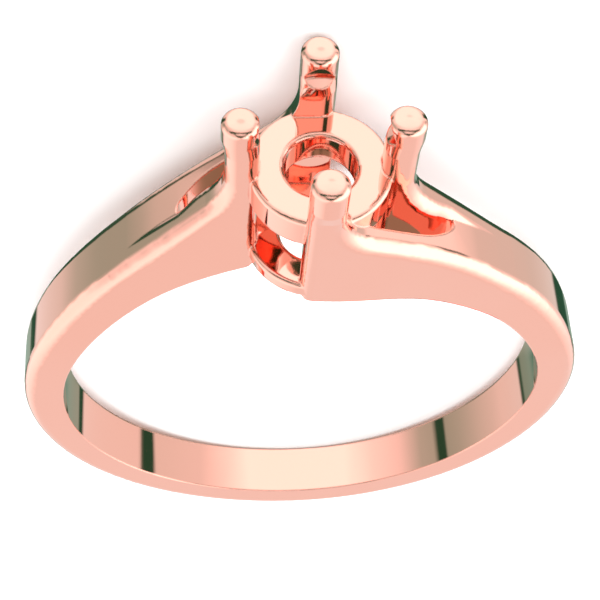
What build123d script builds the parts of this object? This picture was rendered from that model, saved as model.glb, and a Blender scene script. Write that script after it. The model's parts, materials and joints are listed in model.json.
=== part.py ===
from build123d import *
import os
from collections import namedtuple
from math import atan2, cos, degrees, radians, sin, sqrt, tan

# Driving sizes in mm. X is across the finger hole, Y along the finger, Z up to the head.
finger_radius = 8.25
shank_thickness = 1.33
shank_width = 1.82
shoulder_width = 2.4
edge_round = 0.42

# The shoulders leave the shank's round on an arc this much larger, and the arms' straight outer
# faces pass the finger this much farther out than the shank's.
shoulder_ease = 2.42
shoulder_swell = 0.26

# The side arms run straight up to the left and right claws. The cross arms, to the front and back
# claws, bend after a short lead and are straight again for a little. Both end in a hollow round.
side_arm_slope = 46.0
cross_arm_slope = 30.0
cross_arm_lead = 0.9
cross_arm_straight = 0.93
root_round = 1.9

# The slot between two arms and the widening of the side arm, from the outer face of its claw.
slot_reach = 1.4
blend_reach = 1.225
blend_middle = 0.765
blend_offset = 0.44
split_offset = 0.3

claw_circle = 2.3
claw_width = 1.09
claw_waist = 0.11
foot_thickness = 0.345
foot_round = 0.3

# Heights over the claws' necks, where they start to turn from square to round. The front and back
# claws stand a little taller than the left and right ones.
neck_margin = 0.12
claw_round_rise = 0.45
cross_claw_rise = 1.49
side_claw_rise = 1.23
claw_rim_round = 0.22
claw_crown_radius = 1.5

# The stone's groove round the inner faces of the claws: a sloping ledge, a low wall and a roof.
notch_rise = 0.3
notch_depth = 0.26
notch_wall = 0.1
ledge_slope = 40.0
roof_slope = 66.0

# The seat lies below the necks, and the gallery ring over the finger hole.
seat_drop = 0.92
seat_thickness = 1.02
seat_hole_radius = 1.06
gallery_rise = 0.72
gallery_thickness = 0.47
gallery_hole_radius = 1.06
ring_round = 0.14
claw_grip = 0.325

# Cutting and limiting shapes reach this far past the metal, and parts overlap this much.
clearance = 1.5
join_overlap = 0.1
# A face looks along the finger when this share of its normal does.
facing_share = 0.9

outer_radius = finger_radius + shank_thickness
half_claw = claw_width / 2
claw_inside = claw_circle - half_claw
claw_outside = claw_circle + half_claw - claw_waist
leg_foot = claw_inside + foot_thickness
slot_end = claw_outside + slot_reach
blend_outer = claw_outside + blend_reach
reach_in = finger_radius - clearance
side_reach = outer_radius + clearance
cross_front = split_offset - edge_round - join_overlap


def polar(radius, angle):
    # A point in the side view, with the angle counted from the top towards the left.
    return Vector(-radius * sin(radians(angle)), radius * cos(radians(angle)))


def on_finger(x):
    return Vector(x, sqrt(finger_radius**2 - x**2))


def ahead(slope):
    # The direction of an arm that rises to the right.
    return Vector(cos(radians(slope)), sin(radians(slope)))


def root_length(slope):
    # From the corner of arm and claw to either end of their hollow round.
    return root_round * tan(radians(90 - slope) / 2)


def root(place, slope, wall):
    # Start and end of the hollow round between an arm's line through place and a claw's wall.
    corner = place + ahead(slope) * ((-wall - place.X) / cos(radians(slope)))
    return corner - ahead(slope) * root_length(slope), corner + Vector(0, root_length(slope))


# The shoulder's arc, and the cross arm from its end to the claw's wall.
arc_drop = shoulder_ease - shoulder_swell
arc_slide = sqrt(shoulder_ease**2 - arc_drop**2)
arc_centre = ahead(side_arm_slope) * arc_slide - polar(arc_drop, side_arm_slope)
arc_start = arc_centre * (-outer_radius / shoulder_ease)
arc_end = ahead(side_arm_slope) * arc_slide + polar(outer_radius + shoulder_swell, side_arm_slope)
bend_start = arc_end + ahead(side_arm_slope) * cross_arm_lead
bend_run = (root_length(cross_arm_slope) + cross_arm_straight) * cos(radians(cross_arm_slope))
bend_radius = (-half_claw - bend_run - bend_start.X) / (ahead(side_arm_slope).Y - ahead(cross_arm_slope).Y)
bend_end = bend_start + polar(bend_radius, cross_arm_slope) - polar(bend_radius, side_arm_slope)
cross_foot, cross_wall = root(bend_end, cross_arm_slope, half_claw)
side_foot, side_wall = root(arc_end, side_arm_slope, claw_outside)

neck_height = cross_wall.Y + neck_margin
claw_round_level = neck_height + claw_round_rise
claw_top = neck_height + cross_claw_rise
notch_level = neck_height + notch_rise
seat_top = neck_height - seat_drop
gallery_top = finger_radius + gallery_rise
reach_out = claw_top + 2 * clearance
leg_lean = (claw_outside - leg_foot) / (neck_height - finger_radius)

# The two faces of the left half, from the head round to the bottom. Over the head, front is a share
# of half the claw's width and back one of the leg's foot. Each lean is a share of the leg's lean.
Width = namedtuple("Width", "angle front back front_lean back_lean")
head_widths = [
    Width(-12, 1.10, 1.00, -0.14, 0.95),
    Width(0, 1.12, 1.00, -0.14, 0.95),
    Width(8, 1.17, 0.99, -0.14, 0.54),
    Width(14, 1.23, 0.925, -0.14, 0.35),
    Width(20, 1.34, 0.845, -0.08, 0.31),
]
# Along the arms and shoulders the shares are of half the shoulder's width.
arm_widths = [
    Width(27, 0.66, 1.35, 0.0, 0.23),
    Width(35, 0.72, 1.25, 0.0, 0.12),
    Width(44, 0.82, 1.14, 0.0, 0.0),
    Width(54, 0.92, 1.06, 0.0, 0.0),
    Width(64, 0.97, 1.01, 0.0, 0.0),
    Width(76, 0.95, 0.92, 0.0, 0.0),
    Width(90, 0.91, 0.81, 0.0, 0.0),
]
# Below the shoulders they are of half the shank's width.
shank_widths = [
    Width(110, 1.13, 0.97, 0.0, 0.0),
    Width(135, 1.06, 0.97, 0.0, 0.0),
    Width(160, 1.01, 0.99, 0.0, 0.0),
    Width(180, 1.00, 1.00, 0.0, 0.0),
    Width(200, 0.99, 1.01, 0.0, 0.0),
]

# The slot's outline on the cross arm's side, as shares of the slot's end and the claw's inner face.
SlotPoint = namedtuple("SlotPoint", "along across")
slot_points = [
    SlotPoint(1.00, 0.17),
    SlotPoint(0.98, 0.32),
    SlotPoint(0.91, 0.49),
    SlotPoint(0.82, 0.63),
    SlotPoint(0.68, 0.75),
    SlotPoint(0.50, 0.84),
    SlotPoint(0.32, 0.91),
    SlotPoint(0.18, 0.98),
    SlotPoint(0.06, 1.00),
]


def shoulder_outside():
    # The outer face from the bottom of the shank to the straight part of the arms.
    shank = RadiusArc((0, -outer_radius), arc_start, outer_radius)
    return [shank, TangentArc(arc_start, arc_end, tangent=shank % 1)]


def left_inside(x):
    # The finger hole's left side, from the foot of a claw down to the bottom.
    finger = ThreePointArc(on_finger(x), (-finger_radius, 0), (0, -finger_radius))
    return [finger, Line((0, -finger_radius), (0, -outer_radius))]


def post(wall_start, outside, inside):
    # A claw's outline from its root over the neck to its foot on the finger hole.
    return Polyline(wall_start, (outside, claw_top), (inside, claw_top), on_finger(inside))


def side_profile():
    arm = Line(arc_end, side_foot)
    hollow = TangentArc(side_foot, side_wall, tangent=arm % 1)
    claw = post(side_wall, -claw_outside, -claw_inside)
    return make_face(shoulder_outside() + [arm, hollow, claw] + left_inside(-claw_inside))


def cross_profile():
    lead = Line(arc_end, bend_start)
    bend = TangentArc(bend_start, bend_end, tangent=lead % 1)
    arm = Line(bend_end, cross_foot)
    hollow = TangentArc(cross_foot, cross_wall, tangent=arm % 1)
    claw = post(cross_wall, -half_claw, half_claw)
    return make_face(shoulder_outside() + [lead, bend, arm, hollow, claw] + left_inside(half_claw))


def slab(face, front, back):
    # The side view drawn in face, from front to back along the finger.
    return extrude(Plane.XZ.offset(-back) * face, amount=back - front)


def plan_block(outline, low, high):
    return extrude(Plane.XY.offset(low) * make_face(outline), amount=high - low)


def width_section(row, front_size, back_size):
    corners = []
    front = (-row.front * front_size, -row.front_lean * leg_lean)
    back = (row.back * back_size, row.back_lean * leg_lean)
    ends = ((reach_in, front), (reach_out, front), (reach_out, back), (reach_in, back))
    for radius, (foot, lean) in ends:
        place = polar(radius, row.angle)
        corners.append((place.X, foot + lean * (radius - finger_radius), place.Y))
    return make_face(Polyline(*corners, close=True))


def width_body():
    # Everything between the front and back faces of the left half.
    sections = [width_section(row, half_claw, leg_foot) for row in head_widths]
    sections += [width_section(row, shoulder_width / 2, shoulder_width / 2) for row in arm_widths]
    sections += [width_section(row, shank_width / 2, shank_width / 2) for row in shank_widths]
    return loft(sections)


def rounded(body, sides):
    # Rounds the edges of the faces that look to these sides along the finger, then cuts the claw
    # at its neck. The rim of the finger hole stays sharp, and so do the ends where the parts join.
    def looks_along(face):
        return any(face.normal_at().Y * side > facing_share for side in sides)

    def stays(edge):
        points = [edge @ share for share in (0, 0.5, 1)]
        on_rim = all(abs(sqrt(p.X**2 + p.Z**2) - finger_radius) < join_overlap for p in points)
        on_top = all(abs(p.Z - claw_top) < join_overlap for p in points)
        on_middle = all(abs(p.X) < join_overlap for p in points)
        shared = any(edge.is_same(other) and edge is not other for other in edges)
        return on_rim or on_top or on_middle or shared

    edges = [edge for face in body.faces() if looks_along(face) for edge in face.edges()]
    body = fillet([edge for edge in edges if not stays(edge)], edge_round)
    return split(body, Plane.XY.offset(neck_height), keep=Keep.BOTTOM)


def corner_waste(x, y, size):
    # What a round takes off a corner that points right and down.
    square = Pos(x - size / 2, y + size / 2) * Rectangle(size, size)
    return square - Pos(x - size, y + size) * Circle(size)


def side_half():
    # The left side arm with its claw's post and the front part of the shank.
    body = slab(side_profile(), -shoulder_width, half_claw)
    behind = [
        Spline(
            (-claw_outside, half_claw),
            (-claw_outside - blend_middle, blend_offset),
            (-blend_outer, split_offset),
            tangents=[(-1, 0), (-1, 0)],
        ),
        Polyline((-blend_outer, split_offset), (-side_reach, split_offset), (-side_reach, shoulder_width)),
        Polyline((-side_reach, shoulder_width), (clearance, shoulder_width), (clearance, half_claw)),
        Line((clearance, half_claw), (-claw_outside, half_claw)),
    ]
    body = (body - plan_block(behind, -reach_out, reach_out)) & width_body()
    return rounded(body, (-1, 1))


def cross_half():
    # The left cross arm with the back claw's post and the back part of the shank.
    body = slab(cross_profile(), cross_front, claw_circle + clearance)
    points = [(-row.along * slot_end, row.across * claw_inside) for row in slot_points]
    slot = [
        Line((-slot_end, cross_front), points[0]),
        Spline(points, tangents=[(0, 1), (1, 0)]),
        Polyline(points[-1], (claw_circle, claw_inside), (claw_circle, cross_front)),
        Line((claw_circle, cross_front), (-slot_end, cross_front)),
    ]
    body = rounded(body & width_body(), (1,)) - plan_block(slot, 0, reach_out)
    above_seat = Pos(0, 0, seat_top - seat_thickness / 2) * corner_waste(half_claw, claw_inside, edge_round)
    foot = Plane.XZ * corner_waste(half_claw, on_finger(half_claw).Y, foot_round)
    return body - extrude(above_seat, amount=reach_out) - extrude(foot, amount=-reach_out)


def with_tip(body, x, y, rise):
    # Above the neck a claw turns from its squared section to a round tip with a low crown.
    top = neck_height + rise
    neck = [face for face in body.faces() if abs(face.center().Z - neck_height) < join_overlap / 2][0]
    circle = Pos(x, y, claw_round_level) * Circle(half_claw)
    tip = loft([neck, circle]) + extrude(circle, amount=top - claw_round_level)
    tip &= Pos(x, y, top - claw_crown_radius) * Sphere(claw_crown_radius)
    rim = [edge for edge in tip.edges() if (edge @ 0.5).Z > top - claw_rim_round]
    return body + fillet(rim, claw_rim_round)


def head_ring(hole_radius, top, thickness):
    # A flat ring between the claws, rounded along its upper edges.
    face = Circle(claw_inside + claw_grip) - Circle(hole_radius)
    ring = extrude(Pos(0, 0, top) * face, amount=-thickness)
    return fillet(ring.faces().sort_by(Axis.Z)[-1].edges(), ring_round)


def stone_groove():
    # What the stone's rim needs of the claws, turned round the head's axis.
    deep = claw_inside + notch_depth
    ledge = notch_level + notch_depth * tan(radians(ledge_slope))
    foot = ledge - deep * tan(radians(ledge_slope))
    roof = ledge + notch_wall
    peak = roof + deep * tan(radians(roof_slope))
    side = make_face(Polyline((0, foot), (deep, ledge), (deep, roof), (0, peak), close=True))
    return revolve(Plane.XZ * side, Axis.Z)


def ring_mount():
    # The right half is the left half turned half round.
    side = with_tip(side_half(), -claw_circle, 0, side_claw_rise)
    half = side + with_tip(cross_half(), 0, claw_circle, cross_claw_rise)
    ring = half + half.rotate(Axis.Z, 180)
    ring += head_ring(seat_hole_radius, seat_top, seat_thickness)
    ring += head_ring(gallery_hole_radius, gallery_top, gallery_thickness)
    return ring - stone_groove()


def laid_down(ring):
    # Lies on its side on the back claw and the shank's rim, with its head towards -Y.
    rise = claw_circle + half_claw - shank_width / 2
    run = claw_round_level + outer_radius - edge_round
    ring = ring.rotate(Axis.X, degrees(atan2(rise, run)) - 90).rotate(Axis.Z, 180)
    box = ring.bounding_box()
    return Pos(-box.center().X, -box.center().Y, -box.min.Z) * ring


os.makedirs("parts", exist_ok=True)
export_step(laid_down(ring_mount()), "parts/ring_mount.step")
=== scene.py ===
import json
import math
import bpy
from mathutils import Matrix, Vector

# A rose gold solitaire mount lying on white card, in a bright jewellery studio.

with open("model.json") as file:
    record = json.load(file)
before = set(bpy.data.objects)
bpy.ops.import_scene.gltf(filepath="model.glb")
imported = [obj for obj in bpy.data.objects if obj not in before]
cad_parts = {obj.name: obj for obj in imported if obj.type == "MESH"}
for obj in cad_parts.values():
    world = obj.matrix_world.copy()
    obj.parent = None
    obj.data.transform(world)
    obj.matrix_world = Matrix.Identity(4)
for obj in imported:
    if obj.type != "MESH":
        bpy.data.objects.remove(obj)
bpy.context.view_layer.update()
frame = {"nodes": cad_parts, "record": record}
scene = bpy.context.scene
ringNode = frame["nodes"]["ring_mount"]
mountAxis = {mount["name"]: Vector(mount["axis"]).normalized() for mount in frame["record"]["mounts"]}
fingerAxis = mountAxis["finger_hole"]  # from the back rim to the front rim, up off the card
headAxis = mountAxis["stone_seat"]  # from the finger hole to the claws
acrossAxis = headAxis.cross(fingerAxis)  # to the right, seen from the front
print("frame loaded")

mixBelow, mixAbove, mixBlend = 6, 7, 2  # where a mix node keeps its two colours and their blend
rampMiddle = 0.5  # where a wall's ramp, which runs from 0 to 1, is straight over the head


def addNode(tree, kind, inputs=None, **settings):
    # One shader node with its settings, its plain values and its links
    node = tree.nodes.new(kind)
    for name, value in settings.items():
        setattr(node, name, value)
    for key, value in (inputs or {}).items():
        if isinstance(value, bpy.types.NodeSocket):
            tree.links.new(value, node.inputs[key])
        else:
            node.inputs[key].default_value = value
    return node


def calc(tree, operation, *values):
    return addNode(tree, "ShaderNodeMath", dict(enumerate(values)), operation=operation).outputs[0]


def mixColours(tree, share, below, above):
    mix = addNode(tree, "ShaderNodeMix", {
        "Factor": share,
        mixBelow: below,
        mixAbove: above,
    }, data_type="RGBA")
    return mix.outputs[mixBlend]


# Rose gold, as it leaves the last polishing buff. A scale is so many marks in a metre.
roseGold = {
    "colour": (0.973, 0.482, 0.382, 1),
    "paler": (0.973, 0.497, 0.398, 1),
    "patchScale": 400,
    "patchDetail": 3,
    "roughLow": 0.02,
    "roughHigh": 0.06,
    "smearScale": 1200,
    "smearDetail": 4,
    "buffScale": 9000,
    "buffDetail": 2,
    "buffHeight": 0.0000001,
    "edgeRadius": 0.0001,  # the round that the last buff leaves on a sharp edge, in metres
    "edgeSamples": 6,
}


def makeRoseGold(settings):
    material = bpy.data.materials.new("roseGold")
    material.use_nodes = True
    tree = material.node_tree
    shader = tree.nodes["Principled BSDF"]
    shader.inputs["Metallic"].default_value = 1.0
    place = addNode(tree, "ShaderNodeTexCoord").outputs["Object"]

    def noise(name):
        inputs = {"Vector": place, "Scale": settings[name + "Scale"], "Detail": settings[name + "Detail"]}
        return addNode(tree, "ShaderNodeTexNoise", inputs).outputs["Fac"]

    tone = mixColours(tree, noise("patch"), settings["colour"], settings["paler"])
    tree.links.new(tone, shader.inputs["Base Color"])
    rough = addNode(tree, "ShaderNodeMapRange", {
        "Value": noise("smear"),
        "To Min": settings["roughLow"],
        "To Max": settings["roughHigh"],
    })
    tree.links.new(rough.outputs["Result"], shader.inputs["Roughness"])
    edges = addNode(tree, "ShaderNodeBevel", {"Radius": settings["edgeRadius"]})
    edges.samples = settings["edgeSamples"]
    marks = addNode(tree, "ShaderNodeBump", {
        "Height": noise("buff"),
        "Distance": settings["buffHeight"],
        "Normal": edges.outputs["Normal"],
    })
    tree.links.new(marks.outputs["Normal"], shader.inputs["Normal"])
    return material


polishedGold = makeRoseGold(roseGold)
for slot in ringNode.material_slots:
    slot.material = polishedGold
print("rose gold done")

# The studio, as the polished metal sees it. Turns are degrees round the finger axis from the head,
# to the right when positive. Along that axis 1 is straight behind the ring and -1 straight in front.
# Stops are (turn, brightness), 1 being the white that shows the metal's own colour. The screen is
# straight in front. From there to the back the walls follow in the order of the edges, each faded in
# between its two along the axis, so the screen comes back after the lamp. The screen, the lamp and
# the front share their left and right, and each has its own middle over the head.
studio = {
    "brightest": 3.0,  # the ramps hold shares of this, up to 1
    "shadeRed": 1.6,  # on a wall darker than white, red and blue fall off by these powers
    "shadeBlue": 1.25,
    "left": [(-180, 0.97), (-163, 0.97), (-148, 1.3), (-125, 1.6), (-95, 1.5), (-82, 1.0)],
    "right": [(72, 2.4), (104, 2.4), (116, 1.8), (132, 1.25), (150, 0.97), (180, 0.97)],
    "middles": {
        "screen": [(-68, 1.0), (-58, 0.12), (55, 0.12), (62, 1.2)],
        "lamp": [
            (-68, 1.0), (-46, 0.8), (-43, 0.12), (-36, 0.12), (-34, 0.7), (-20, 1.0), (0, 1.15), (20, 1.0),
            (34, 0.7), (36, 0.12), (43, 0.12), (46, 0.8),
        ],
        "front": [
            (-72, 0.6), (-55, 0.8), (-30, 1.1), (-15, 1.3), (15, 1.3), (30, 1.1), (50, 0.8), (62, 1.6),
        ],
    },
    "walls": {
        "band": [
            (-180, 0.2), (-165, 0.4), (-152, 0.4), (-150, 0.1), (-148, 0.1), (-146, 0.9), (-125, 0.9),
            (-106, 0.75), (-92, 0.6), (-83, 0.55), (-82, 0.1), (-77, 0.1), (-75, 0.6), (-66, 0.65),
            (-55, 1.0), (-40, 1.25), (-25, 1.65), (25, 1.65), (40, 1.2), (52, 0.95), (78, 0.9), (80, 0.1),
            (87, 0.1), (89, 0.95), (137, 0.95), (139, 0.1), (143, 0.1), (145, 0.5), (160, 0.45), (180, 0.2),
        ],
        "shoulders": [
            (-180, 0.5), (-152, 0.5), (-150, 0.1), (-146, 0.1), (-144, 0.95), (-123, 0.85), (-113, 0.65),
            (-101, 0.55), (-93, 0.55), (-85, 0.75), (-74, 0.85), (-55, 1.0), (-40, 1.25), (-25, 1.7),
            (25, 1.7), (40, 1.4), (60, 1.3), (86, 1.2), (97, 0.85), (117, 0.8), (136, 0.85), (138, 0.1),
            (150, 0.1), (152, 0.45), (180, 0.5),
        ],
        "shade": [
            (-180, 0.12), (-62, 0.12), (-50, 0.8), (-25, 1.7), (30, 1.7), (50, 0.8), (62, 0.12), (180, 0.12),
        ],
        "behind": [
            (-180, 0.75), (-100, 0.9), (-45, 1.2), (-25, 1.7), (35, 1.7), (60, 1.1), (110, 0.8), (180, 0.75),
        ],
    },
    "edges": {
        "lamp": (-0.88, -0.85),
        "screen": (-0.56, -0.54),
        "front": (-0.27, -0.25),
        "band": (0.1, 0.41),
        "shoulders": (0.47, 0.48),
        "shade": (0.59, 0.62),
        "behind": (0.75, 0.81),
    },
}


def wallTone(brightness, settings):
    # White and brighter is grey, and darker goes over to green
    if brightness >= 1:
        return (brightness, brightness, brightness)
    return (brightness ** settings["shadeRed"], brightness, brightness ** settings["shadeBlue"])


def wallRamp(tree, turn, stops, settings):
    ramp = addNode(tree, "ShaderNodeValToRGB", {"Fac": turn})
    elements = ramp.color_ramp.elements
    elements.remove(elements[-1])
    for index, (degrees, brightness) in enumerate(stops):
        place = rampMiddle + degrees / 360
        element = elements[0] if index == 0 else elements.new(place)
        element.position = place
        element.color = [part / settings["brightest"] for part in wallTone(brightness, settings)] + [1]
    return ramp.outputs["Color"]


def blendWalls(tree, along, edge, below, above):
    share = addNode(tree, "ShaderNodeMapRange", {
        "Value": along,
        "From Min": edge[0],
        "From Max": edge[1],
    }, interpolation_type="SMOOTHSTEP").outputs["Result"]
    return mixColours(tree, share, below, above)


def makeStudio(settings):
    world = bpy.data.worlds.new("studio")
    world.use_nodes = True
    tree = world.node_tree
    look = addNode(tree, "ShaderNodeTexCoord").outputs["Generated"]

    def lookAlong(axis):
        dot = addNode(tree, "ShaderNodeVectorMath", {0: look, 1: axis}, operation="DOT_PRODUCT")
        return dot.outputs["Value"]

    along = lookAlong(-fingerAxis)
    turn = calc(tree, "ARCTAN2", lookAlong(acrossAxis), lookAlong(headAxis))
    turn = calc(tree, "MULTIPLY_ADD", turn, 1 / math.tau, rampMiddle)
    walls = dict(settings["walls"])
    for name, middle in settings["middles"].items():
        walls[name] = settings["left"] + middle + settings["right"]
    ramps = {name: wallRamp(tree, turn, stops, settings) for name, stops in walls.items()}
    colour = ramps["screen"]
    for name, edge in settings["edges"].items():
        colour = blendWalls(tree, along, edge, colour, ramps[name])
    background = tree.nodes["Background"]
    background.inputs["Strength"].default_value = settings["brightest"]
    tree.links.new(colour, background.inputs["Color"])
    scene.world = world


makeStudio(studio)
print("studio done")

# A sheet of white card under a soft light overhead, which the metal doesn't mirror
card = {
    "half": 0.5,
    "colour": (0.95, 0.95, 0.96, 1),
    "roughness": 0.9,
    "lightHeight": 0.3,
    "lightSize": 0.8,
    "lightPower": 2.5,
}


def makeCard(settings):
    half = settings["half"]
    mesh = bpy.data.meshes.new("whiteCard")
    corners = [(-half, -half, 0), (half, -half, 0), (half, half, 0), (-half, half, 0)]
    mesh.from_pydata(corners, [], [(0, 1, 2, 3)])
    floor = bpy.data.objects.new("whiteCard", mesh)
    scene.collection.objects.link(floor)
    material = bpy.data.materials.new("whiteCard")
    material.use_nodes = True
    shader = material.node_tree.nodes["Principled BSDF"]
    shader.inputs["Base Color"].default_value = settings["colour"]
    shader.inputs["Roughness"].default_value = settings["roughness"]
    mesh.materials.append(material)
    floor.visible_glossy = False  # the metal mirrors the studio's walls alone
    light = bpy.data.objects.new("overhead", bpy.data.lights.new("overhead", "AREA"))
    light.location = (0, 0, settings["lightHeight"])
    light.data.size = settings["lightSize"]
    light.data.energy = settings["lightPower"]
    light.visible_glossy = False
    scene.collection.objects.link(light)


makeCard(card)
print("card done")

# The camera sees the lying ring with its head on top, as in the picture, and so is nearly upside down
view = {
    "place": (0.00359536, -0.04118894, 0.03051077),
    "azimuth": 4.936,
    "elevation": 36.030,
    "roll": 175.896,
    "lens": 88.84,
    "sensor": 36,
    "clip": (0.001, 10),
}


def makeCamera(settings):
    camera = bpy.data.objects.new("camera", bpy.data.cameras.new("camera"))
    scene.collection.objects.link(camera)
    azimuth = math.radians(settings["azimuth"])
    elevation = math.radians(settings["elevation"])
    roll = math.radians(settings["roll"])
    flat = math.cos(elevation)
    back = Vector((math.sin(azimuth) * flat, -math.cos(azimuth) * flat, math.sin(elevation)))
    level = Vector((math.cos(azimuth), math.sin(azimuth), 0))
    right = level * math.cos(roll) + back.cross(level) * math.sin(roll)
    turn = Matrix((right, back.cross(right), back)).transposed().to_4x4()
    camera.matrix_world = Matrix.Translation(settings["place"]) @ turn
    camera.data.sensor_width = settings["sensor"]
    camera.data.lens = settings["lens"]
    camera.data.clip_start, camera.data.clip_end = settings["clip"]
    scene.camera = camera


makeCamera(view)
scene.view_settings.view_transform = "Standard"  # the card stays white and the gold keeps its own colour
print("camera done")
